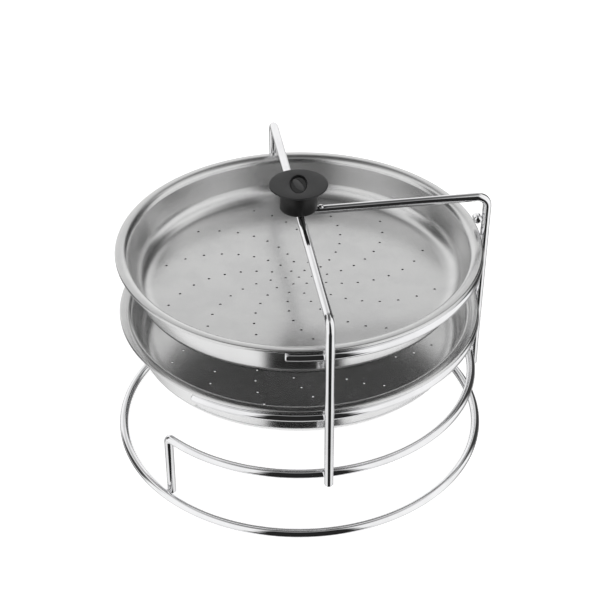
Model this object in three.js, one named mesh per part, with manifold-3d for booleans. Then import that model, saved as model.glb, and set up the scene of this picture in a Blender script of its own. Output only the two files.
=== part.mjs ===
import * as THREE from 'three';
import { mergeGeometries, mergeVertices } from 'three/addons/utils/BufferGeometryUtils.js';
import Module from 'manifold-3d';

// Steaming rack of bent wire with two perforated pans and a lifting knob.
// Millimetres. +Z is up and the rack stands on Z = 0. The open side, where pans go in, is -X.

// Wire rack
const wireDiameter = 5;
const weldGap = 0.3;
const lowestShelfHeight = 44.2;
const shelfPitch = 42.2;
const barAboveTopShelf = 26.4;
const barArch = 0.8;
const topMouthHalfAngle = 102.5;
const middleMouthHalfAngle = 132.5;
const legAngle = 144.4;
const legBendRadius = 3;
const bailBendRadius = 6.5;
const frontFootBelowShelf = 4.7;
const sideFootBelowShelf = 15;
const sideLean = 1.5;
const pegLength = 7;
const pegRounding = 1.6;
const pegAboveTopShelf = 11.4;

// Pans
const rimRadius = 110.5;
const rimOverhang = 1.9;
const panDepth = 26.6;
const sheet = 0.7;
const rimBeadHeight = 2.4;
const rimBeadWidth = 3.2;
const rimBendRadius = 5;
const floorFilletRadius = 12;
const wallSpread = 14.7;
const mouthClearance = 0.5;
const restGap = 0.3;
const holeDiameter = 1.5;
const spiralArms = 12;
const holesPerArm = 9;
const firstHoleRadius = 8.2;
const holeStep = 9.36;
const spiralRadius = 54.5;
const spiralStart = -7.4;

// Knob
const knobHeight = 16.2;
const capDiameter = 35;
const capEdge = 1;
const capCone = 1.6;
const stemDiameter = 22.5;
const stemEdge = 0.6;
const neckDepth = 0.6;
const badgeWidth = 9.8;
const badgeLength = 20;
const badgeTurn = -8.4;
const badgeRecessDepth = 1.2;
const badgeGap = 0.3;
const badgeDome = 0.2;
const studDiameter = 5;
const studLength = 10;
const threadGap = 0.3;
const insertWall = 1.3;
const insertLength = 10.6;
const insertLift = 0.3;

// Fineness of round shapes
const turns = 56;
const wireSides = 8;

const wireRadius = wireDiameter / 2;
const ringRadius = rimRadius - rimOverhang;
const uprightRadius = ringRadius + wireDiameter + weldGap;
const middleShelfHeight = lowestShelfHeight + shelfPitch;
const topShelfHeight = middleShelfHeight + shelfPitch;
const barHeight = topShelfHeight + barAboveTopShelf;
const hubTop = barHeight + wireRadius + weldGap;

const steelWire = { color: 0xd2d5d8, roughness: 0.12, metalness: 1 };
const steelSheet = { color: 0xb9bbbd, roughness: 0.3, metalness: 1 };
const blackPlastic = { color: 0x1d1d1e, roughness: 0.5, metalness: 0 };
const badgePlastic = { color: 0x101112, roughness: 0.25, metalness: 0 };
const brass = { color: 0xb08d4a, roughness: 0.35, metalness: 1 };

const radians = THREE.MathUtils.degToRad;

function part(name, geometry, look) {
  const mesh = new THREE.Mesh(geometry, new THREE.MeshStandardMaterial(look));
  mesh.name = name;
  return mesh;
}

function onCircle(radius, angle, height) {
  return new THREE.Vector3(radius * Math.cos(angle), radius * Math.sin(angle), height);
}

// Points of an arc from one angle to another about a centre, in the plane of two unit vectors.
function arcPoints(centre, across, along, radius, from, to, steps) {
  const points = [];
  for (let i = 0; i <= steps; i += 1) {
    const angle = from + (to - from) * i / steps;
    points.push(centre.clone()
      .addScaledVector(across, radius * Math.cos(angle))
      .addScaledVector(along, radius * Math.sin(angle)));
  }
  return points;
}

// Round bar along a path, with flat ends. The first side faces the given direction.
function bar(path, facing, radius = wireRadius) {
  const cornerRadius = radius / Math.cos(Math.PI / wireSides);
  const positions = [];
  const indices = [];
  let side = facing.clone();
  path.forEach((point, i) => {
    const before = path[Math.max(i - 1, 0)];
    const after = path[Math.min(i + 1, path.length - 1)];
    const tangent = after.clone().sub(before).normalize();
    if (i > 0 && i < path.length - 1) {
      const arriving = point.clone().sub(before).normalize();
      const leaving = after.clone().sub(point).normalize();
      tangent.copy(arriving.add(leaving).normalize());
    }
    side.addScaledVector(tangent, -side.dot(tangent));
    if (Math.abs(tangent.z) < 1e-6) {
      // Level wire keeps its flats exactly on top and underneath
      side.z = Math.round(side.z);
    }
    side.normalize();
    const other = tangent.clone().cross(side);
    for (let k = 0; k < wireSides; k += 1) {
      const angle = 2 * Math.PI * (k + 0.5) / wireSides;
      const corner = point.clone()
        .addScaledVector(side, cornerRadius * Math.cos(angle))
        .addScaledVector(other, cornerRadius * Math.sin(angle));
      positions.push(corner.x, corner.y, corner.z);
    }
  });
  for (let i = 0; i < path.length - 1; i += 1) {
    for (let k = 0; k < wireSides; k += 1) {
      const a = i * wireSides + k;
      const b = i * wireSides + (k + 1) % wireSides;
      indices.push(a, b, a + wireSides, b, b + wireSides, a + wireSides);
    }
  }
  const last = (path.length - 1) * wireSides;
  for (let k = 1; k < wireSides - 1; k += 1) {
    indices.push(0, k + 1, k);
    indices.push(last, last + k, last + k + 1);
  }
  const geometry = new THREE.BufferGeometry();
  geometry.setAttribute('position', new THREE.Float32BufferAttribute(positions, 3));
  geometry.setIndex(indices);
  return geometry;
}

// Solid of revolution about Z from [radius, height] points that go up the outside. They start
// and end on the axis, or come back to where they started.
function turned(profile, segments = turns) {
  const points = profile.map(([r, z]) => new THREE.Vector2(Math.max(r, 0), z));
  const geometry = new THREE.LatheGeometry(points, segments);
  geometry.deleteAttribute('normal');
  geometry.deleteAttribute('uv');
  geometry.rotateX(Math.PI / 2);
  return mergeVertices(geometry, 1e-5);
}

function profileArc(centreR, centreZ, radius, from, to, steps) {
  const points = [];
  for (let i = 0; i <= steps; i += 1) {
    const angle = radians(from + (to - from) * i / steps);
    points.push([centreR + radius * Math.cos(angle), centreZ + radius * Math.sin(angle)]);
  }
  return points;
}

function wholeRing(radius, height) {
  const corner = wireRadius / Math.cos(Math.PI / wireSides);
  const half = 180 / wireSides;
  const section = profileArc(radius, height, corner, half, half + 360, wireSides);
  section[wireSides] = section[0];
  return turned(section);
}

function openRing(height, halfAngle) {
  const steps = 2 * Math.round(turns * halfAngle / 360);
  const path = arcPoints(new THREE.Vector3(0, 0, height), new THREE.Vector3(1, 0, 0),
    new THREE.Vector3(0, 1, 0), ringRadius, radians(-halfAngle), radians(halfAngle), steps);
  return bar(path, new THREE.Vector3(0, 0, 1));
}

// The lowest shelf ring, whose two ends turn down into legs inside the base ring.
function leggedRing() {
  const height = lowestShelfHeight;
  const bendAngle = legBendRadius / ringRadius;
  const legs = [-1, 1].map((way) => {
    const angle = way * radians(legAngle);
    const foot = onCircle(ringRadius, angle, wireRadius * 0.6);
    const inward = new THREE.Vector3(Math.sin(angle), -Math.cos(angle), 0).multiplyScalar(way);
    const centre = onCircle(ringRadius, angle, height - legBendRadius)
      .addScaledVector(inward, legBendRadius);
    const bend = arcPoints(centre, inward.clone().negate(), new THREE.Vector3(0, 0, 1),
      legBendRadius, 0, radians(75), 5);
    return [foot, ...bend];
  });
  const reach = radians(legAngle) - bendAngle * 1.1;
  const steps = 2 * Math.round(turns * legAngle / 360);
  const arc = arcPoints(new THREE.Vector3(0, 0, height), new THREE.Vector3(1, 0, 0),
    new THREE.Vector3(0, 1, 0), ringRadius, -reach, reach, steps);
  const path = [...legs[0], ...arc, ...legs[1].reverse()];
  return bar(path, onCircle(1, radians(-legAngle), 0));
}

// Front upright, bar over the pans and back upright, bent from one length of wire. The bar rises
// a little to the middle.
function crossBail() {
  const foot = lowestShelfHeight - frontFootBelowShelf;
  const bendY = uprightRadius - bailBendRadius;
  const bendZ = barHeight - barArch - bailBendRadius;
  const y = new THREE.Vector3(0, 1, 0);
  const z = new THREE.Vector3(0, 0, 1);
  const path = [
    new THREE.Vector3(0, -uprightRadius, foot),
    ...arcPoints(new THREE.Vector3(0, -bendY, bendZ), y, z, bailBendRadius, Math.PI, Math.PI / 2, 6),
    new THREE.Vector3(0, 0, barHeight),
    ...arcPoints(new THREE.Vector3(0, bendY, bendZ), y, z, bailBendRadius, Math.PI / 2, 0, 6),
    new THREE.Vector3(0, uprightRadius, foot),
  ];
  return bar(path, new THREE.Vector3(1, 0, 0));
}

// Side upright and the spoke that reaches in to the hub. The upright leans outwards a little.
function sideUprightRadius(height) {
  const climb = (height - lowestShelfHeight) / (barHeight - lowestShelfHeight);
  return uprightRadius + sideLean * Math.max(climb, 0);
}

function sideBail() {
  const foot = lowestShelfHeight - sideFootBelowShelf;
  const bendX = uprightRadius + sideLean - bailBendRadius;
  const bendZ = barHeight - bailBendRadius;
  const x = new THREE.Vector3(1, 0, 0);
  const z = new THREE.Vector3(0, 0, 1);
  const path = [
    new THREE.Vector3(wireRadius + weldGap, 0, barHeight),
    ...arcPoints(new THREE.Vector3(bendX, 0, bendZ), x, z, bailBendRadius, Math.PI / 2, 0, 6),
    new THREE.Vector3(uprightRadius, 0, lowestShelfHeight + wireRadius),
    new THREE.Vector3(uprightRadius, 0, foot),
  ];
  return bar(path, new THREE.Vector3(0, 1, 0));
}

// Short bar across the inner face of the side upright, over the rim of the top pan.
function stopPeg() {
  const height = topShelfHeight + pegAboveTopShelf;
  const x = sideUprightRadius(height - wireRadius) - wireDiameter - weldGap;
  const half = pegLength / 2;
  const flat = wireRadius - pegRounding;
  const profile = [
    [0, -half],
    ...profileArc(flat, -half + pegRounding, pegRounding, -90, 0, 3),
    ...profileArc(flat, half - pegRounding, pegRounding, 0, 90, 3),
    [0, half],
  ];
  const geometry = turned(profile, 16);
  geometry.rotateX(Math.PI / 2);
  geometry.translate(x, 0, height);
  return geometry;
}

// Centres of the drain holes: one in the middle and arms that curve out from it. Every other arm
// starts one hole further out.
function holeCentres() {
  const centres = [[0, 0]];
  for (let arm = 0; arm < spiralArms; arm += 1) {
    for (let step = arm % 2; step < holesPerArm; step += 1) {
      const r = firstHoleRadius + holeStep * step;
      const angle = radians(spiralStart + 360 * arm / spiralArms) + Math.asin(r / (2 * spiralRadius));
      centres.push([r * Math.cos(angle), r * Math.sin(angle)]);
    }
  }
  return centres;
}

// Height profile of a pan whose floor's underside is at zero.
function panProfile() {
  const neckRadius = (ringRadius - wireRadius) * Math.sin(radians(topMouthHalfAngle)) - mouthClearance;
  const floorRadius = neckRadius - wallSpread;
  const outerFillet = floorFilletRadius + sheet;
  const bendZ = panDepth - rimBendRadius;
  const rise = bendZ - outerFillet;
  const run = neckRadius - floorRadius - outerFillet;
  const draft = THREE.MathUtils.radToDeg(Math.atan2(run, rise));
  const lean = radians(draft);
  const bendR = neckRadius + (rimBendRadius - sheet) * Math.cos(lean);
  const beadRadius = rimBeadHeight / 2;
  const beadZ = panDepth - beadRadius;
  const beadInside = rimRadius - rimBeadWidth;
  const underBend = rimBendRadius - sheet;
  const beadMeets = 90 + THREE.MathUtils.radToDeg(Math.asin(Math.max(bendR - beadInside, 0) / underBend));
  return [
    [0, sheet],
    ...profileArc(floorRadius, outerFillet, floorFilletRadius, -90, -draft, 5),
    ...profileArc(bendR, bendZ, rimBendRadius, 180 - draft, 90, 4),
    ...profileArc(rimRadius - beadRadius, beadZ, beadRadius, 90, -90, 4),
    [beadInside, panDepth - rimBeadHeight],
    ...profileArc(bendR, bendZ, underBend, beadMeets, 180 - draft, 4),
    ...profileArc(floorRadius, outerFillet, outerFillet, -draft, -90, 5),
    [0, 0],
  ].reverse();
}

function solidFrom(wasm, geometry) {
  const vertProperties = new Float32Array(geometry.attributes.position.array);
  const triVerts = new Uint32Array(geometry.index.array);
  return new wasm.Manifold(new wasm.Mesh({ numProp: 3, vertProperties, triVerts }));
}

function geometryFrom(solid) {
  const mesh = solid.getMesh();
  const geometry = new THREE.BufferGeometry();
  geometry.setAttribute('position', new THREE.Float32BufferAttribute(mesh.vertProperties, 3));
  geometry.setIndex(Array.from(mesh.triVerts));
  return geometry;
}

function perforatedPan(wasm) {
  const cutters = holeCentres().map(([x, y]) => {
    const cutter = new THREE.CylinderGeometry(holeDiameter / 2, holeDiameter / 2, 4 * sheet, 6);
    cutter.deleteAttribute('normal');
    cutter.deleteAttribute('uv');
    cutter.rotateX(Math.PI / 2);
    cutter.translate(x, y, sheet / 2);
    return mergeVertices(cutter, 1e-5);
  });
  const body = solidFrom(wasm, turned(panProfile()));
  return geometryFrom(body.subtract(solidFrom(wasm, mergeGeometries(cutters))));
}

// Heights below are measured from the underside of the stem.
function knobProfile() {
  const stem = stemDiameter / 2;
  const cap = capDiameter / 2;
  const neck = stem - neckDepth;
  const hole = studDiameter / 2 + threadGap + insertWall + threadGap;
  const edgeRounding = capEdge / 2;
  const edgeLow = knobHeight - capEdge;
  return [
    [0, insertLength + 1],
    [hole, insertLength + 1],
    [hole, 0],
    ...profileArc(stem - stemEdge, stemEdge, stemEdge, -90, 0, 3),
    [stem, edgeLow - 4 * capCone],
    [neck, edgeLow - 3 * capCone],
    [neck, edgeLow - 1.5 * capCone],
    [neck + 1, edgeLow - capCone],
    [cap - edgeRounding, edgeLow],
    ...profileArc(cap - edgeRounding, knobHeight - edgeRounding, edgeRounding, -60, 90, 4),
    [0, knobHeight],
  ];
}

// The oval recess in the cap takes the badge.
function recessedKnob(wasm) {
  const cutter = new THREE.CylinderGeometry(1, 1, 2 * badgeRecessDepth, 32);
  cutter.deleteAttribute('normal');
  cutter.deleteAttribute('uv');
  cutter.rotateX(Math.PI / 2);
  cutter.scale(badgeWidth / 2 + badgeGap, badgeLength / 2 + badgeGap, 1);
  cutter.rotateZ(radians(badgeTurn));
  cutter.translate(0, 0, knobHeight);
  const body = solidFrom(wasm, turned(knobProfile(), 32));
  return geometryFrom(body.subtract(solidFrom(wasm, mergeVertices(cutter, 1e-5))));
}

function ovalBadge() {
  const r = badgeWidth / 2;
  const low = knobHeight - badgeRecessDepth + badgeGap;
  const high = knobHeight - badgeGap;
  const geometry = turned([
    [0, low],
    [r, low],
    [r, high - 0.15],
    [r - 0.3, high],
    [r * 0.6, high],
    [r * 0.5, high + badgeDome],
    [0, high + badgeDome],
  ], 32);
  geometry.scale(1, badgeLength / badgeWidth, 1);
  geometry.rotateZ(radians(badgeTurn));
  return geometry;
}

function studProfile() {
  const r = studDiameter / 2;
  return [[0, 0], [r, 0], [r, studLength - 0.6], [r - 0.6, studLength], [0, studLength]];
}

function insertProfile() {
  const inner = studDiameter / 2 + threadGap;
  const outer = inner + insertWall;
  return [
    [inner, insertLift],
    [outer, insertLift],
    [outer, insertLength],
    [inner, insertLength],
    [inner, insertLift],
  ];
}

const wasm = await Module();
wasm.setup();
const object = new THREE.Group();
object.name = 'steaming_rack';

object.add(part('base_ring', wholeRing(uprightRadius, wireRadius), steelWire));
object.add(part('low_shelf_ring', leggedRing(), steelWire));
object.add(part('middle_shelf_ring', openRing(middleShelfHeight, middleMouthHalfAngle), steelWire));
object.add(part('top_shelf_ring', openRing(topShelfHeight, topMouthHalfAngle), steelWire));
object.add(part('cross_bail', crossBail(), steelWire));
object.add(part('side_bail', sideBail(), steelWire));
object.add(part('stop_peg', stopPeg(), steelWire));

const hubParts = [
  part('knob_stud', turned(studProfile(), 16), steelWire),
  part('knob_insert', turned(insertProfile(), 16), brass),
  part('knob', recessedKnob(wasm), blackPlastic),
  part('knob_badge', ovalBadge(), badgePlastic),
];
for (const piece of hubParts) {
  piece.geometry.translate(0, 0, hubTop);
  object.add(piece);
}

const pan = perforatedPan(wasm);
const shelves = [['top_pan', topShelfHeight], ['lower_pan', middleShelfHeight]];
for (const [name, shelf] of shelves) {
  const rimTop = shelf + wireRadius + restGap + rimBeadHeight;
  const geometry = pan.clone().translate(0, 0, rimTop - panDepth);
  object.add(part(name, geometry, steelSheet));
}

export default object;
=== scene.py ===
import math
import bmesh
import bpy
from mathutils import Matrix, Vector


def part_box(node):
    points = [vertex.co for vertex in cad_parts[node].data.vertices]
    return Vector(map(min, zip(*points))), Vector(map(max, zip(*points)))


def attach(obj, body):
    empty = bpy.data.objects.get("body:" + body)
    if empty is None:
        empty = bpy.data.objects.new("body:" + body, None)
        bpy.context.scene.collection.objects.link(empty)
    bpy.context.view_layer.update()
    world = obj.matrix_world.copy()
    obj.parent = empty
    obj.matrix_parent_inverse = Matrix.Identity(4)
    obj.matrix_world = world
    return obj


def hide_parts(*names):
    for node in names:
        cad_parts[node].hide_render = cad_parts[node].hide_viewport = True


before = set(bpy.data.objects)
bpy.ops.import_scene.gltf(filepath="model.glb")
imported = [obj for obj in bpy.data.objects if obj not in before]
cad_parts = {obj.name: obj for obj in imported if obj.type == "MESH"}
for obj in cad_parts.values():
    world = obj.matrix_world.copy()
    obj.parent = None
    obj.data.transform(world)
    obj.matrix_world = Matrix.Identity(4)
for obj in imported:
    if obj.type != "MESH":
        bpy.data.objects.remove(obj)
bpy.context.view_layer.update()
scene = bpy.context.scene
mm = 0.001
xAxis, yAxis, zAxis = Vector((1, 0, 0)), Vector((0, 1, 0)), Vector((0, 0, 1))


# ---- camera, floor and light

view = {
    "place": (-0.1120, -0.7587, 0.6249),
    "towards": (0.12047, 0.81178, -0.57141),
    "roll": -0.235,        # degrees
    "lens": 90.66,         # mm, on a 36 mm sensor
}

studio = {
    "floorSize": 8.0,        # m
    "floorGlow": 0.75,       # keeps the floor pale under the rack
    "panels": 1.0,           # brightness of the soft boxes
    "overhead": 0.14,
    "overheadFrom": 46.0,    # degrees above the floor
    "overheadTo": 76.0,
    "below": 0.85,           # share of the brightness that is left far below the level
    "belowFrom": -28.0,      # degrees
    "belowTo": -48.0,
    "gapWidensFrom": -12.0,  # each gap goes from its width to its widthBelow here
    "gapWidensTo": -38.0,
    # Dark gaps between the soft boxes. Angles in degrees: azimuth from +X, height above the floor
    "gaps": [
        {"azimuth": -94, "width": 27, "widthBelow": 38, "low": -72, "high": 58,
         "soft": 5, "shade": 0.02},
        {"azimuth": 39, "width": 20, "widthBelow": 20, "low": -14, "high": 42,
         "soft": 5, "shade": 0.05},
        {"azimuth": 149, "width": 16, "widthBelow": 16, "low": -8, "high": 38,
         "soft": 5, "shade": 0.06},
        {"azimuth": 84, "width": 40, "widthBelow": 40, "low": 44, "high": 120,
         "soft": 9, "shade": 0.3},
        {"azimuth": 82, "width": 75, "widthBelow": 75, "low": -42, "high": -18,
         "soft": 6, "shade": 0.35},
    ],
}


def makeCamera():
    data = bpy.data.cameras.new("camera")
    data.lens = view["lens"]
    data.sensor_width = 36
    data.clip_start = 0.01
    camera = bpy.data.objects.new("camera", data)
    turn = Vector(view["towards"]).to_track_quat("-Z", "Y")
    roll = Matrix.Rotation(math.radians(view["roll"]), 4, "Z")
    camera.matrix_world = Matrix.Translation(view["place"]) @ turn.to_matrix().to_4x4() @ roll
    scene.collection.objects.link(camera)
    scene.camera = camera


def addNode(tree, kind, values=None, **settings):
    node = tree.nodes.new(kind)
    for key, value in settings.items():
        setattr(node, key, value)
    for socket, value in (values or {}).items():
        if hasattr(value, "node"):
            tree.links.new(value, node.inputs[socket])
        else:
            node.inputs[socket].default_value = value
    return node


def mathNode(tree, operation, first, second=None, third=None):
    values = {0: first}
    if second is not None:
        values[1] = second
    if third is not None:
        values[2] = third
    return addNode(tree, "ShaderNodeMath", values, operation=operation).outputs[0]


def rampNode(tree, value, low, high, lowTo=0.0, highTo=1.0):
    values = {"Value": value, "From Min": low, "From Max": high, "To Min": lowTo, "To Max": highTo}
    node = addNode(tree, "ShaderNodeMapRange", values, interpolation_type="SMOOTHSTEP")
    return node.outputs["Result"]


def makeStudio():
    world = bpy.data.worlds.new("softStudio")
    world.use_nodes = True
    tree = world.node_tree
    tree.nodes.clear()
    direction = addNode(tree, "ShaderNodeTexCoord").outputs["Generated"]
    height = addNode(tree, "ShaderNodeSeparateXYZ", {0: direction}).outputs["Z"]
    height = mathNode(tree, "MULTIPLY", mathNode(tree, "ARCSINE", height), math.degrees(1))
    level = addNode(tree, "ShaderNodeVectorMath", {0: direction, 1: (1, 1, 0)}, operation="MULTIPLY")
    level = addNode(tree, "ShaderNodeVectorMath", {0: level.outputs[0]}, operation="NORMALIZE")
    shade = rampNode(tree, height, studio["overheadFrom"], studio["overheadTo"],
                     studio["panels"], studio["overhead"])
    floorward = rampNode(tree, height, studio["belowTo"], studio["belowFrom"], studio["below"], 1.0)
    shade = mathNode(tree, "MULTIPLY", shade, floorward)
    for gap in studio["gaps"]:
        turn = math.radians(gap["azimuth"])
        dot = addNode(tree, "ShaderNodeVectorMath",
                      {0: level.outputs[0], 1: (math.cos(turn), math.sin(turn), 0)},
                      operation="DOT_PRODUCT").outputs["Value"]
        away = mathNode(tree, "MULTIPLY", mathNode(tree, "ARCCOSINE", dot), math.degrees(1))
        width = rampNode(tree, height, studio["gapWidensTo"], studio["gapWidensFrom"],
                         gap["widthBelow"], gap["width"])
        away = mathNode(tree, "SUBTRACT", away, width)
        soft = gap["soft"]
        covered = rampNode(tree, away, -soft, soft, 1.0, 0.0)
        lower = rampNode(tree, height, gap["low"] - 2 * soft, gap["low"] + soft)
        upper = rampNode(tree, height, gap["high"] - soft, gap["high"] + 2 * soft, 1.0, 0.0)
        covered = mathNode(tree, "MULTIPLY", covered, mathNode(tree, "MULTIPLY", lower, upper))
        dimmed = mathNode(tree, "MULTIPLY_ADD", covered, gap["shade"] - 1.0, 1.0)
        shade = mathNode(tree, "MULTIPLY", shade, dimmed)
    soft = addNode(tree, "ShaderNodeBackground", {"Color": (1, 1, 1, 1), "Strength": shade})
    plain = addNode(tree, "ShaderNodeBackground", {"Color": (1, 1, 1, 1), "Strength": 1.0})
    direct = addNode(tree, "ShaderNodeLightPath").outputs["Is Camera Ray"]
    both = addNode(tree, "ShaderNodeMixShader", {0: direct, 1: soft.outputs[0], 2: plain.outputs[0]})
    addNode(tree, "ShaderNodeOutputWorld", {0: both.outputs[0]})
    scene.world = world
    scene.view_settings.view_transform = "Standard"

    bm = bmesh.new()
    bmesh.ops.create_grid(bm, x_segments=1, y_segments=1, size=studio["floorSize"] / 2)
    mesh = bpy.data.meshes.new("floor")
    bm.to_mesh(mesh)
    bm.free()
    floor = bpy.data.objects.new("floor", mesh)
    scene.collection.objects.link(floor)
    material = bpy.data.materials.new("paleFloor")
    material.use_nodes = True
    shader = material.node_tree.nodes["Principled BSDF"]
    shader.inputs["Base Color"].default_value = (0.9, 0.9, 0.9, 1)
    shader.inputs["Roughness"].default_value = 0.9
    shader.inputs["Specular IOR Level"].default_value = 0.0
    shader.inputs["Emission Color"].default_value = (1, 1, 1, 1)
    shader.inputs["Emission Strength"].default_value = studio["floorGlow"]
    mesh.materials.append(material)
    floor.visible_glossy = False


makeCamera()
makeStudio()
print("camera, floor and light")


# ---- finishes

def newGroup(name, inputs, outputs):
    tree = bpy.data.node_groups.new(name, "ShaderNodeTree")
    for label, value in inputs.items():
        socket = tree.interface.new_socket(label, in_out="INPUT", socket_type="NodeSocketFloat")
        socket.default_value = value
    for label in outputs:
        tree.interface.new_socket(label, in_out="OUTPUT", socket_type="NodeSocketFloat")
    start = addNode(tree, "NodeGroupInput")
    end = addNode(tree, "NodeGroupOutput")
    return tree, start.outputs, end.inputs


def fineGrainGroup():
    tree, take, give = newGroup("fineGrain", {"Size": 2000.0, "Blotch": 60.0}, ["Height", "Patch"])
    place = addNode(tree, "ShaderNodeTexCoord").outputs["Object"]
    grain = addNode(tree, "ShaderNodeTexNoise",
                    {"Vector": place, "Scale": take["Size"], "Detail": 3.0, "Roughness": 0.6})
    patch = addNode(tree, "ShaderNodeTexNoise",
                    {"Vector": place, "Scale": take["Blotch"], "Detail": 4.0, "Roughness": 0.55})
    tree.links.new(grain.outputs["Fac"], give["Height"])
    tree.links.new(rampNode(tree, patch.outputs["Fac"], 0.32, 0.7), give["Patch"])
    return tree


def turnedLinesGroup():
    # Fine lines round the Z axis, as polishing leaves on something spun
    tree, take, give = newGroup("turnedLines", {"Density": 900.0, "Breaks": 1.2}, ["Height"])
    place = addNode(tree, "ShaderNodeTexCoord").outputs["Object"]
    x, y, z = addNode(tree, "ShaderNodeSeparateXYZ", {0: place}).outputs
    out = mathNode(tree, "SQRT", mathNode(tree, "ADD", mathNode(tree, "MULTIPLY", x, x),
                                          mathNode(tree, "MULTIPLY", y, y)))
    angle = mathNode(tree, "MULTIPLY", mathNode(tree, "ARCTAN2", y, x), take["Breaks"])
    across = mathNode(tree, "MULTIPLY", out, take["Density"])
    down = mathNode(tree, "MULTIPLY", z, take["Density"])
    vector = addNode(tree, "ShaderNodeCombineXYZ", {0: across, 1: down, 2: angle}).outputs[0]
    lines = addNode(tree, "ShaderNodeTexNoise",
                    {"Vector": vector, "Scale": 1.0, "Detail": 2.0, "Roughness": 0.7})
    tree.links.new(lines.outputs["Fac"], give["Height"])
    return tree


def hairlinesGroup():
    # Short scattered hairlines from washing and stacking
    tree, take, give = newGroup("hairlines", {"Spread": 55.0, "Width": 0.012}, ["Mask"])
    place = addNode(tree, "ShaderNodeTexCoord").outputs["Object"]
    bend = addNode(tree, "ShaderNodeTexNoise", {"Vector": place, "Scale": 14.0, "Detail": 1.0})
    shifted = addNode(tree, "ShaderNodeVectorMath",
                      {0: place, 1: bend.outputs["Color"]}, operation="ADD")
    stretched = addNode(tree, "ShaderNodeMapping",
                        {"Vector": shifted.outputs[0], "Rotation": (0.3, 0.5, 0.9),
                         "Scale": (1.0, 7.0, 7.0)})
    cells = addNode(tree, "ShaderNodeTexVoronoi",
                    {"Vector": stretched.outputs[0], "Scale": take["Spread"]},
                    feature="DISTANCE_TO_EDGE")
    edge = mathNode(tree, "DIVIDE", cells.outputs["Distance"], take["Width"])
    line = rampNode(tree, edge, 0.2, 1.0, 1.0, 0.0)
    some = addNode(tree, "ShaderNodeTexNoise", {"Vector": place, "Scale": 130.0, "Detail": 0.0})
    kept = rampNode(tree, some.outputs["Fac"], 0.56, 0.66)
    tree.links.new(mathNode(tree, "MULTIPLY", line, kept), give["Mask"])
    return tree


fineGrain = fineGrainGroup()
turnedLines = turnedLinesGroup()
hairlines = hairlinesGroup()


def placeGroup(tree, group, **values):
    node = addNode(tree, "ShaderNodeGroup", node_tree=group)
    for label, value in values.items():
        node.inputs[label].default_value = value
    return node.outputs


def newMaterial(name, colour, metallic, specular=0.5):
    material = bpy.data.materials.new(name)
    material.use_nodes = True
    tree = material.node_tree
    shader = tree.nodes["Principled BSDF"]
    shader.inputs["Base Color"].default_value = (*colour, 1)
    shader.inputs["Metallic"].default_value = metallic
    shader.inputs["Specular IOR Level"].default_value = specular
    return material, tree, shader


def mixColours(tree, factor, first, second):
    node = addNode(tree, "ShaderNodeMix", {"Factor": factor}, data_type="RGBA")
    node.inputs[6].default_value = (*first, 1)
    node.inputs[7].default_value = (*second, 1)
    return node.outputs[2]


def bumpNode(tree, height, strength, distance):
    values = {"Height": height, "Strength": strength, "Distance": distance}
    return addNode(tree, "ShaderNodeBump", values).outputs["Normal"]


def steelFinish(name, look):
    material, tree, shader = newMaterial(name, look["colour"], 1.0)
    grain = placeGroup(tree, fineGrain, Size=look["grainSize"], Blotch=look["blotch"])
    lines = placeGroup(tree, turnedLines, Density=look["lineDensity"], Breaks=look["lineBreaks"])
    marks = placeGroup(tree, hairlines, Spread=look["markSpread"], Width=look["markWidth"])
    tint = mixColours(tree, grain["Patch"], look["colour"], look["duller"])
    tree.links.new(tint, shader.inputs["Base Color"])
    rough = rampNode(tree, grain["Patch"], 0.0, 1.0, look["roughness"][0], look["roughness"][1])
    rough = mathNode(tree, "MULTIPLY_ADD", marks["Mask"], look["markRoughness"], rough)
    tree.links.new(rough, shader.inputs["Roughness"])
    height = mathNode(tree, "MULTIPLY", grain["Height"], look["grainShare"])
    height = mathNode(tree, "MULTIPLY_ADD", lines["Height"], look["lineShare"], height)
    height = mathNode(tree, "MULTIPLY_ADD", marks["Mask"], -0.4, height)
    tree.links.new(bumpNode(tree, height, look["bump"], look["bumpDepth"]), shader.inputs["Normal"])
    return material


def plasticFinish(name, look):
    material, tree, shader = newMaterial(name, look["colour"], 0.0, look["specular"])
    grain = placeGroup(tree, fineGrain, Size=look["grainSize"], Blotch=look["blotch"])
    marks = placeGroup(tree, hairlines, Spread=look["markSpread"], Width=0.01)
    shade = mathNode(tree, "MULTIPLY", grain["Patch"], 0.8)
    shade = mathNode(tree, "MULTIPLY_ADD", marks["Mask"], 0.5, shade)
    tint = mixColours(tree, shade, look["colour"], look["worn"])
    tree.links.new(tint, shader.inputs["Base Color"])
    rough = rampNode(tree, grain["Patch"], 0.0, 1.0, look["roughness"][0], look["roughness"][1])
    tree.links.new(rough, shader.inputs["Roughness"])
    normal = bumpNode(tree, grain["Height"], look["bump"], look["bumpDepth"])
    tree.links.new(normal, shader.inputs["Normal"])
    return material


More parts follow.
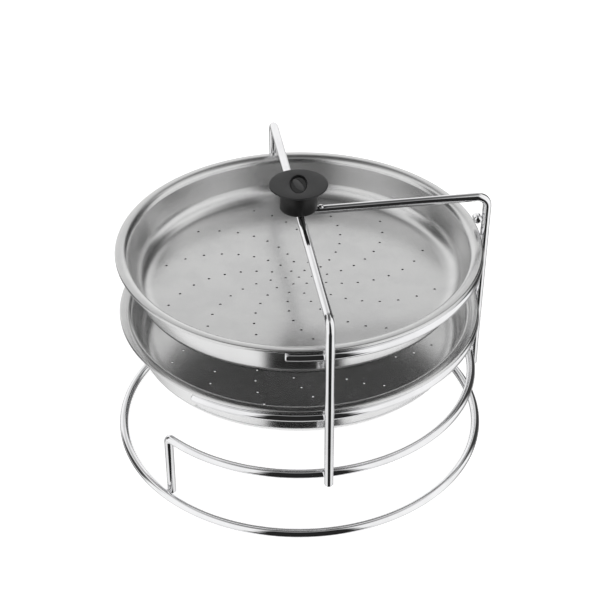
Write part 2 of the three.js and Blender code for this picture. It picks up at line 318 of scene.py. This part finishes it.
wireLook = {
    "colour": (0.90, 0.90, 0.91), "duller": (0.84, 0.84, 0.85), "roughness": (0.035, 0.075),
    "grainSize": 2600.0, "blotch": 45.0, "grainShare": 0.5, "lineDensity": 2200.0,
    "lineBreaks": 2.0, "lineShare": 0.5, "markSpread": 80.0, "markWidth": 0.01,
    "markRoughness": 0.12, "bump": 0.05, "bumpDepth": 0.00004,
}
satinLook = {
    "colour": (0.715, 0.715, 0.712), "duller": (0.69, 0.69, 0.69), "roughness": (0.24, 0.26),
    "grainSize": 2400.0, "blotch": 60.0, "grainShare": 0.8, "lineDensity": 1500.0,
    "lineBreaks": 1.5, "lineShare": 0.4, "markSpread": 40.0, "markWidth": 0.006,
    "markRoughness": 0.04, "bump": 0.14, "bumpDepth": 0.00006,
}
mirrorLook = {
    "colour": (0.93, 0.93, 0.93), "duller": (0.89, 0.89, 0.89), "roughness": (0.14, 0.18),
    "grainSize": 2400.0, "blotch": 30.0, "grainShare": 0.3, "lineDensity": 1800.0,
    "lineBreaks": 1.5, "lineShare": 0.8, "markSpread": 50.0, "markWidth": 0.008,
    "markRoughness": 0.10, "bump": 0.06, "bumpDepth": 0.00004,
}
brassLook = {
    "colour": (0.69, 0.53, 0.26), "duller": (0.55, 0.42, 0.22), "roughness": (0.28, 0.4),
    "grainSize": 2000.0, "blotch": 90.0, "grainShare": 0.4, "lineDensity": 3000.0,
    "lineBreaks": 1.0, "lineShare": 0.8, "markSpread": 90.0, "markWidth": 0.01,
    "markRoughness": 0.1, "bump": 0.2, "bumpDepth": 0.00006,
}
weldLook = dict(wireLook, colour=(0.78, 0.78, 0.79), duller=(0.66, 0.65, 0.64),
                roughness=(0.16, 0.3), bump=0.35, bumpDepth=0.0001)
knobLook = {
    "colour": (0.018, 0.018, 0.019), "worn": (0.03, 0.03, 0.031), "specular": 0.45,
    "roughness": (0.42, 0.5), "grainSize": 1700.0, "blotch": 130.0, "markSpread": 120.0,
    "bump": 0.35, "bumpDepth": 0.00008,
}
badgeLook = {
    "colour": (0.003, 0.003, 0.003), "worn": (0.006, 0.006, 0.006), "specular": 0.12,
    "roughness": (0.2, 0.26), "grainSize": 2600.0, "blotch": 240.0, "markSpread": 160.0,
    "bump": 0.08, "bumpDepth": 0.00004,
}

# the floor's underside: a darker copy of the satin steel, painted shade for the face that looks down
underShadeLook = dict(satinLook, colour=(0.42, 0.42, 0.42), duller=(0.36, 0.36, 0.36))
# hole walls: dark steel as painted shade, so the drain holes read dark
holeShadeLook = dict(satinLook, colour=(0.16, 0.16, 0.16), duller=(0.1, 0.1, 0.1), roughness=(0.4, 0.5))
# the stem: a darker copy of the knob plastic, painted shade under the cap
stemShadeLook = dict(knobLook, colour=(0.008, 0.008, 0.008), worn=(0.013, 0.013, 0.013), specular=0.35,
                roughness=(0.3, 0.38))
markLook = dict(knobLook, colour=(0.026, 0.026, 0.027), worn=(0.04, 0.04, 0.041))

polishedWire = steelFinish("polishedWire", wireLook)
weldMetal = steelFinish("weldMetal", weldLook)
satinSteel = steelFinish("satinSteel", satinLook)
holeShadeSteel = steelFinish("holeShadeSteel", holeShadeLook)
underShadeSteel = steelFinish("underShadeSteel", underShadeLook)
mirrorSteel = steelFinish("mirrorSteel", mirrorLook)
turnedBrass = steelFinish("turnedBrass", brassLook)
knobPlastic = plasticFinish("knobPlastic", knobLook)
stemShadePlastic = plasticFinish("stemShadePlastic", stemShadeLook)
badgePlastic = plasticFinish("badgePlastic", badgeLook)
markPlastic = plasticFinish("markPlastic", markLook)
print("finishes")


# ---- shared modelling steps

def finishPiece(name, bm, materials, body, nodes=(), sharp=32):
    bmesh.ops.remove_doubles(bm, verts=bm.verts, dist=0.000002)
    bmesh.ops.recalc_face_normals(bm, faces=bm.faces)
    mesh = bpy.data.meshes.new(name)
    bm.to_mesh(mesh)
    bm.free()
    for material in materials:
        mesh.materials.append(material)
    mesh.shade_smooth()
    mesh.set_sharp_from_angle(angle=math.radians(sharp))
    piece = bpy.data.objects.new(name, mesh)
    scene.collection.objects.link(piece)
    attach(piece, body)
    if nodes:
        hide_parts(*nodes)


def startWire(bm, centre, direction, radius, sides=28):
    turn = direction.to_track_quat("Z", "Y").to_matrix().to_4x4()
    ring = bmesh.ops.create_circle(bm, cap_ends=False, segments=sides, radius=radius,
                                   matrix=Matrix.Translation(centre) @ turn)
    return list(dict.fromkeys(edge for vert in ring["verts"] for edge in vert.link_edges))


def runStraight(bm, edges, move):
    made = bmesh.ops.extrude_edge_only(bm, edges=edges)["geom"]
    bmesh.ops.translate(bm, vec=move, verts=[v for v in made if isinstance(v, bmesh.types.BMVert)])
    return [e for e in made if isinstance(e, bmesh.types.BMEdge)
            and len(e.link_faces) == 1 and e not in edges]


def runBend(bm, edges, centre, axis, degrees, steps):
    made = bmesh.ops.spin(bm, geom=edges, cent=centre, axis=axis, steps=steps,
                          angle=math.radians(degrees), use_merge=False)
    return [e for e in made["geom_last"] if isinstance(e, bmesh.types.BMEdge)]


def closeEnds(bm, rounding):
    # Caps each open end of a wire and rounds its edge
    openEdges = [e for e in bm.edges if e.is_boundary]
    made = bmesh.ops.edgeloop_fill(bm, edges=openEdges)["faces"]
    rims = list(dict.fromkeys(edge for face in made for edge in face.edges))
    bmesh.ops.bevel(bm, geom=rims, offset=rounding, segments=4, profile=0.5,
                    affect="EDGES", material=-1, clamp_overlap=True)


def spinProfile(bm, points, steps):
    # points are [radius, height] in metres
    verts = [bm.verts.new((r, 0, z)) for r, z in points]
    edges = [bm.edges.new(pair) for pair in zip(verts, verts[1:])]
    before = set(bm.faces)
    bmesh.ops.spin(bm, geom=verts + edges, cent=(0, 0, 0), axis=(0, 0, 1), steps=steps,
                   angle=math.tau, use_merge=True)
    return [f for f in bm.faces if f not in before]


def profileArc(centreR, centreZ, radius, start, stop, steps):
    points = []
    for i in range(steps + 1):
        angle = math.radians(start + (stop - start) * i / steps)
        points.append((centreR + radius * math.cos(angle), centreZ + radius * math.sin(angle)))
    return points


def radiusPoint(radius, degrees, height):
    angle = math.radians(degrees)
    return Vector((radius * math.cos(angle), radius * math.sin(angle), height))


# ---- wire rack

rack = {
    "fuller": 0.15 * mm,       # a round wire between the flats and the corners of the solid bar
    "endRounding": 0.9 * mm,
    "pegRounding": 1.6 * mm,
    "bailBend": 6.5 * mm,
    "barArch": 0.8 * mm,
    "legBend": 3.0 * mm,
    "legAngle": 144.4,
    "shelfAngles": {"top_shelf_ring": 102.5, "middle_shelf_ring": 132.5},
    "ringSteps": 176,
    "bendSteps": 12,
}

baseLow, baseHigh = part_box("base_ring")
wireRadius = (baseHigh.z - baseLow.z) / 2
baseRadius = baseHigh.x - wireRadius
drawnRadius = wireRadius + rack["fuller"]


def makeBaseRing():
    bm = bmesh.new()
    start = startWire(bm, Vector((baseRadius, 0, drawnRadius)), yAxis, drawnRadius)
    bmesh.ops.spin(bm, geom=start, cent=(0, 0, 0), axis=(0, 0, 1), steps=rack["ringSteps"],
                   angle=math.tau, use_merge=True)
    finishPiece("baseRing", bm, [polishedWire], "rack", ["base_ring"])


def makeOpenRing(name, node):
    low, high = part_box(node)
    radius = high.y - wireRadius
    height = (low.z + high.z) / 2
    halfAngle = rack["shelfAngles"][node]
    start = radiusPoint(radius, -halfAngle, height)
    tangent = radiusPoint(1, 90 - halfAngle, 0)
    bm = bmesh.new()
    ring = startWire(bm, start, tangent, drawnRadius)
    runBend(bm, ring, (0, 0, 0), zAxis, 2 * halfAngle, int(rack["ringSteps"] * halfAngle / 180))
    closeEnds(bm, rack["endRounding"])
    finishPiece(name, bm, [polishedWire], "rack", [node])


def makeLeggedRing():
    low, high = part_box("low_shelf_ring")
    radius = high.y - wireRadius
    height = high.z - wireRadius
    bend = rack["legBend"]
    leg = rack["legAngle"]
    bendAngle = math.degrees(bend / radius)
    bm = bmesh.new()
    foot = radiusPoint(radius, -leg, low.z)
    ring = startWire(bm, foot, zAxis, drawnRadius)
    ring = runStraight(bm, ring, zAxis * (height - bend - low.z))
    forward = radiusPoint(1, 90 - leg, 0)
    corner = radiusPoint(radius, -leg, height - bend) + forward * bend
    ring = runBend(bm, ring, corner, radiusPoint(1, -leg, 0), -90, rack["bendSteps"])
    arc = leg - bendAngle
    ring = runBend(bm, ring, (0, 0, 0), zAxis, 2 * arc, int(rack["ringSteps"] * arc / 180))
    backward = radiusPoint(1, leg + 90, 0)
    corner = radiusPoint(radius, leg, height - bend) - backward * bend
    ring = runBend(bm, ring, corner, radiusPoint(1, leg, 0), -90, rack["bendSteps"])
    runStraight(bm, ring, -zAxis * (height - bend - low.z))
    closeEnds(bm, rack["endRounding"])
    finishPiece("lowShelfRing", bm, [polishedWire], "rack", ["low_shelf_ring"])


def makeCrossBail():
    low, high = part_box("cross_bail")
    reach = high.y - wireRadius
    arch = rack["barArch"]
    top = high.z - wireRadius - arch
    bend = rack["bailBend"]
    bm = bmesh.new()
    ring = startWire(bm, Vector((0, -reach, low.z)), zAxis, drawnRadius)
    ring = runStraight(bm, ring, zAxis * (top - bend - low.z))
    ring = runBend(bm, ring, (0, -reach + bend, top - bend), xAxis, -90, rack["bendSteps"])
    ring = runStraight(bm, ring, yAxis * (reach - bend) + zAxis * arch)
    ring = runStraight(bm, ring, yAxis * (reach - bend) - zAxis * arch)
    ring = runBend(bm, ring, (0, reach - bend, top - bend), xAxis, -90, rack["bendSteps"])
    runStraight(bm, ring, -zAxis * (top - bend - low.z))
    closeEnds(bm, rack["endRounding"])
    finishPiece("crossBail", bm, [polishedWire], "rack", ["cross_bail"])


def makeSideBail():
    low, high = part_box("side_bail")
    reach = high.x - wireRadius
    top = high.z - wireRadius
    bend = rack["bailBend"]
    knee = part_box("low_shelf_ring")[1].z
    lean = reach - baseRadius
    bm = bmesh.new()
    ring = startWire(bm, Vector((low.x, 0, top)), xAxis, drawnRadius)
    ring = runStraight(bm, ring, xAxis * (reach - bend - low.x))
    ring = runBend(bm, ring, (reach - bend, 0, top - bend), yAxis, 90, rack["bendSteps"])
    ring = runStraight(bm, ring, Vector((-lean, 0, knee - top + bend)))
    runStraight(bm, ring, Vector((0, 0, low.z - knee)))
    closeEnds(bm, rack["endRounding"])
    finishPiece("sideBail", bm, [polishedWire], "rack", ["side_bail"])


def makeStopPeg():
    low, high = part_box("stop_peg")
    centre = (low + high) / 2
    bm = bmesh.new()
    ring = startWire(bm, Vector((centre.x, low.y, centre.z)), yAxis, drawnRadius)
    runStraight(bm, ring, yAxis * (high.y - low.y))
    closeEnds(bm, rack["pegRounding"])
    finishPiece("stopPeg", bm, [polishedWire], "rack", ["stop_peg"])


makeBaseRing()
makeOpenRing("topShelfRing", "top_shelf_ring")
makeOpenRing("middleShelfRing", "middle_shelf_ring")
makeLeggedRing()
makeCrossBail()
makeSideBail()
makeStopPeg()
print("wire rack")


# ---- welds where the wires touch

weld = {
    "across": 1.2 * mm,
    "deep": 0.95 * mm,
    "tall": 1.4 * mm,
    "segments": 14,
    "rings": 10,
    "outside": 0.1 * mm,      # how far past the outermost wire a bead's middle sits
    "legRise": 1.3,           # the leg weld's height, in wire radii
    "legSize": 1.1,
    "spokeEnd": 13.4 * mm,
    "spokeDepth": 0.5 * mm,
    "spokeSize": 1.5,
}


def addWeld(bm, place, outward, size=1.0):
    turn = outward.to_track_quat("Z", "Y").to_matrix().to_4x4()
    scale = Matrix.Diagonal((weld["across"] * size, weld["tall"] * size, weld["deep"] * size, 1))
    bmesh.ops.create_uvsphere(bm, u_segments=weld["segments"], v_segments=weld["rings"],
                              radius=1.0, matrix=Matrix.Translation(place) @ turn @ scale)


def makeWelds():
    bm = bmesh.new()
    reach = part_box("low_shelf_ring")[1].y + weld["outside"]
    for node in ("low_shelf_ring", "middle_shelf_ring", "top_shelf_ring"):
        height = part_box(node)[1].z - wireRadius
        for degrees in (-90, 0, 90):
            addWeld(bm, radiusPoint(reach, degrees, height), radiusPoint(1, degrees, 0))
    for angle in (-rack["legAngle"], rack["legAngle"]):
        place = radiusPoint(reach, angle, wireRadius * weld["legRise"])
        addWeld(bm, place, radiusPoint(1, angle, 0), weld["legSize"])
    low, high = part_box("stop_peg")
    addWeld(bm, Vector((high.x + weld["outside"], 0, (low.z + high.z) / 2)), xAxis)
    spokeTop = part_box("side_bail")[1].z
    place = Vector((weld["spokeEnd"], 0, spokeTop - weld["spokeDepth"]))
    addWeld(bm, place, zAxis, weld["spokeSize"])
    finishPiece("weldBeads", bm, [weldMetal], "rack")


makeWelds()
print("welds")


# ---- pans

pan = {
    "sheet": 0.7 * mm,
    "floorFillet": 12.0 * mm,
    "underFillet": 8.5 * mm,
    "rimBend": 5.0 * mm,
    "beadHeight": 2.0 * mm,
    "beadWidth": 3.2 * mm,
    "beadLip": 0.2 * mm,
    "filletSteps": 14,
    "bendSteps": 9,
    "beadSteps": 6,
    "neckRadius": 103.08 * mm,
    "floorRadius": 88.38 * mm,
    "innerDisc": 86.0 * mm,
    "steps": 192,
    "holeRadius": 0.78 * mm,
    "holeSides": 14,
    "arms": 12,
    "holesPerArm": 9,
    "firstHole": 8.2 * mm,
    "holeStep": 9.36 * mm,
    "spiralRadius": 54.5 * mm,
    "spiralStart": -7.4,
}


def panShells(depth):
    # The sheet's inside from the floor to the rim, and its outside from the rim to the floor
    sheet = pan["sheet"]
    evenFillet = pan["floorFillet"] + sheet
    bendZ = depth - pan["rimBend"]
    run = pan["neckRadius"] - pan["floorRadius"] - evenFillet
    slant = math.atan2(run, bendZ - evenFillet)
    draft = math.degrees(slant)
    underBend = pan["rimBend"] - sheet
    bendR = pan["neckRadius"] + underBend * math.cos(slant)
    bead = pan["beadHeight"] / 2
    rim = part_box("top_pan")[1].x
    inner = [(pan["innerDisc"], sheet)]
    inner += profileArc(pan["floorRadius"], evenFillet, pan["floorFillet"], -90, -draft,
                        pan["filletSteps"])
    inner += profileArc(bendR, bendZ, pan["rimBend"], 180 - draft, 90, pan["bendSteps"])
    inner += profileArc(rim - bead, depth - bead, bead, 90, 0, pan["beadSteps"])
    outer = profileArc(rim - bead, depth - bead, bead, 0, -90, pan["beadSteps"])
    beadInside = rim - pan["beadWidth"]
    beadBottom = depth - pan["beadHeight"]
    outer += [(beadInside + pan["beadLip"], beadBottom), (beadInside, beadBottom + pan["beadLip"])]
    meets = 90 + math.degrees(math.asin((bendR - beadInside) / underBend))
    outer += profileArc(bendR, bendZ, underBend, meets, 180 - draft, pan["bendSteps"])
    # the corner is tighter outside than inside, and its wall stays on the same slant
    corner = pan["underFillet"]
    shift = (evenFillet - corner) * (1 - math.sin(slant)) / math.cos(slant)
    outer += profileArc(pan["floorRadius"] + shift, corner, corner, -draft, -90,
                        pan["filletSteps"])
    outer += [(pan["innerDisc"], 0.0)]
    return inner, outer


def drainHoles():
    # One hole in the middle and curved arms around it. Every second arm has an inner hole too
    holes = [Vector((0, 0, 0))]
    for arm in range(pan["arms"]):
        for step in range(arm % 2, pan["holesPerArm"]):
            radius = pan["firstHole"] + pan["holeStep"] * step
            turn = math.degrees(math.asin(radius / (2 * pan["spiralRadius"])))
            angle = pan["spiralStart"] + 360 * arm / pan["arms"] + turn
            holes.append(radiusPoint(radius, angle, 0))
    return holes


def makePan(name, node):
    low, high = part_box(node)
    sheet = pan["sheet"]
    bm = bmesh.new()
    # floor sheet with its drain holes
    top = Matrix.Translation((0, 0, sheet))
    bmesh.ops.create_circle(bm, cap_ends=False, segments=pan["steps"], radius=pan["innerDisc"],
                            matrix=top)
    for place in drainHoles():
        bmesh.ops.create_circle(bm, cap_ends=False, segments=pan["holeSides"],
                                radius=pan["holeRadius"], matrix=top @ Matrix.Translation(place))
    bmesh.ops.triangle_fill(bm, use_beauty=True, edges=list(bm.edges), normal=(0, 0, 1))
    made = bmesh.ops.extrude_face_region(bm, geom=list(bm.faces), use_keep_orig=True)["geom"]
    lowered = [v for v in made if isinstance(v, bmesh.types.BMVert)]
    bmesh.ops.translate(bm, vec=(0, 0, -sheet), verts=lowered)
    # the lowered copy is the floor's underside and takes the darker painted-shade steel
    for face in made:
        if isinstance(face, bmesh.types.BMFace):
            face.material_index = 3
    # the hole walls take the dark painted-shade steel
    upright = [f for f in bm.faces if abs(f.normal.z) < 0.5]
    for face in upright:
        face.material_index = 2
    # the floor sheet's own edge goes, because the wall takes over there
    edge = [f for f in upright if f.calc_center_median().xy.length > pan["innerDisc"] * 0.99]
    bmesh.ops.delete(bm, geom=edge, context="FACES_ONLY")
    inner, outer = panShells(high.z - low.z)
    spinProfile(bm, inner, pan["steps"])
    for face in spinProfile(bm, outer, pan["steps"]):
        face.material_index = 1
    bmesh.ops.remove_doubles(bm, verts=bm.verts, dist=0.01 * mm)
    bmesh.ops.translate(bm, vec=(0, 0, low.z), verts=bm.verts)
    materials = [satinSteel, mirrorSteel, holeShadeSteel, underShadeSteel]
    finishPiece(name, bm, materials, node, [node])


makePan("topPan", "top_pan")
makePan("lowerPan", "lower_pan")
print("pans")


# ---- knob

knob = {
    "stemRadius": 11.25 * mm,
    "stemRounding": 0.6 * mm,
    "neckDepth": 0.6 * mm,
    "capEdge": 1.0 * mm,
    "capCone": 1.6 * mm,
    "capFillet": 1.6 * mm,
    "capFilletDrop": 1.4 * mm,
    "mouldingStep": 4.8 * mm,
    "mouldingTaper": 1.6 * mm,
    "boreChamfer": 0.3 * mm,
    "boreRadius": 4.4 * mm,
    "boreDepth": 11.6 * mm,
    "badgeWidth": 9.8 * mm,
    "badgeLength": 20.0 * mm,
    "badgeTurn": -8.4,
    "recessDepth": 1.2 * mm,
    "recessGap": 0.3 * mm,
    "recessLip": 0.25 * mm,
    "badgeSink": 0.8 * mm,
    "badgeEdge": 0.25 * mm,
    "badgeDish": 0.12 * mm,
    "dishFrom": 0.9,         # shares of the badge's radius
    "dishTo": 0.88,
    "badgeSteps": 96,
    "markWide": 0.5,         # shares of the badge's width and length
    "markLong": 0.8,
    "markHeight": 0.6 * mm,
    "markTurn": 20.0,
    "markSegments": 48,
    "markRings": 16,
    "steps": 128,
}


def makeKnob():
    low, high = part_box("knob")
    tall = high.z - low.z
    cap = high.x
    stem = knob["stemRadius"]
    neck = stem - knob["neckDepth"]
    cone = knob["capCone"]
    edgeLow = tall - knob["capEdge"]
    rounding = knob["capEdge"] / 2
    chamfer = knob["boreChamfer"]
    points = [(knob["boreRadius"], knob["boreDepth"]), (knob["boreRadius"], chamfer)]
    points += [(knob["boreRadius"] + chamfer, 0.0)]
    base = knob["stemRounding"]
    points += profileArc(stem - base, base, base, -90, 0, 6)
    stemTop = edgeLow - knob["mouldingStep"] - knob["mouldingTaper"]
    points += [(stem, stemTop), (neck, stemTop + knob["mouldingTaper"])]
    fillet = knob["capFillet"]
    points += profileArc(neck + fillet, edgeLow - cone - knob["capFilletDrop"], fillet, 180, 105, 8)
    points += profileArc(cap - rounding, tall - rounding, rounding, -70, 90, 9)
    bm = bmesh.new()
    # faces below the cap take the darker painted-shade plastic
    for face in spinProfile(bm, points, knob["steps"]):
        if face.calc_center_median().z < edgeLow - cone:
            face.material_index = 1
    rings = [e for e in bm.edges if e.is_boundary]
    bore = [e for e in rings if e.verts[0].co.z < tall * 0.9]
    edge = [e for e in rings if e.verts[0].co.z > tall * 0.9]
    bmesh.ops.edgeloop_fill(bm, edges=bore)
    # oval recess for the badge
    narrow = knob["badgeWidth"] / 2 + knob["recessGap"]
    lip = knob["recessLip"]
    points = profileArc(narrow + lip, tall - lip, lip, 90, 180, 4)
    points += [(narrow, tall - knob["recessDepth"])]
    before = set(bm.verts)
    spinProfile(bm, points, knob["steps"])
    recess = [v for v in bm.verts if v not in before]
    stretch = knob["badgeLength"] / knob["badgeWidth"]
    bmesh.ops.scale(bm, vec=(1, stretch, 1), verts=recess)
    bmesh.ops.rotate(bm, cent=(0, 0, 0), verts=recess,
                     matrix=Matrix.Rotation(math.radians(knob["badgeTurn"]), 3, "Z"))
    rings = list(dict.fromkeys(e for v in recess for e in v.link_edges if e.is_boundary))
    bottom = [e for e in rings if e.verts[0].co.z < tall - lip * 2]
    top = [e for e in rings if e.verts[0].co.z > tall - lip / 2]
    bmesh.ops.edgeloop_fill(bm, edges=bottom)
    bmesh.ops.bridge_loops(bm, edges=edge + top)
    bmesh.ops.translate(bm, vec=(0, 0, low.z), verts=bm.verts)
    finishPiece("knob", bm, [knobPlastic, stemShadePlastic], "rack", ["knob"], sharp=38)


def makeBadge():
    low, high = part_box("knob_badge")
    radius = knob["badgeWidth"] / 2
    stretch = knob["badgeLength"] / knob["badgeWidth"]
    flat = high.z - knob["badgeSink"]
    edge = knob["badgeEdge"]
    dish = knob["badgeDish"]
    bm = bmesh.new()
    points = [(radius, low.z)]
    points += profileArc(radius - edge, flat - edge, edge, 0, 90, 3)
    points += [(radius * knob["dishFrom"], flat), (radius * knob["dishTo"], flat - dish)]
    spinProfile(bm, points, knob["badgeSteps"])
    bmesh.ops.edgeloop_fill(bm, edges=[e for e in bm.edges if e.is_boundary])
    bmesh.ops.scale(bm, vec=(1, stretch, 1), verts=bm.verts)
    # a plain raised oval, set slantwise
    before = set(bm.faces)
    wide = radius * knob["markWide"]
    size = Matrix.Diagonal((wide, radius * stretch * knob["markLong"], knob["markHeight"], 1))
    slant = Matrix.Rotation(math.radians(knob["markTurn"]), 4, "Z")
    middle = Matrix.Translation((0, 0, flat - dish))
    bmesh.ops.create_uvsphere(bm, u_segments=knob["markSegments"], v_segments=knob["markRings"],
                              radius=1.0, matrix=middle @ slant @ size)
    for face in bm.faces:
        if face not in before:
            face.material_index = 1
    bmesh.ops.rotate(bm, cent=(0, 0, 0), verts=bm.verts,
                     matrix=Matrix.Rotation(math.radians(knob["badgeTurn"]), 3, "Z"))
    finishPiece("knobBadge", bm, [badgePlastic, markPlastic], "rack",
                ["knob_badge"], sharp=30)


def dressNode(node, material):
    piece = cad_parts[node]
    for holder in piece.material_slots:
        holder.material = material


makeKnob()
makeBadge()
dressNode("knob_stud", polishedWire)
dressNode("knob_insert", turnedBrass)
print("knob")
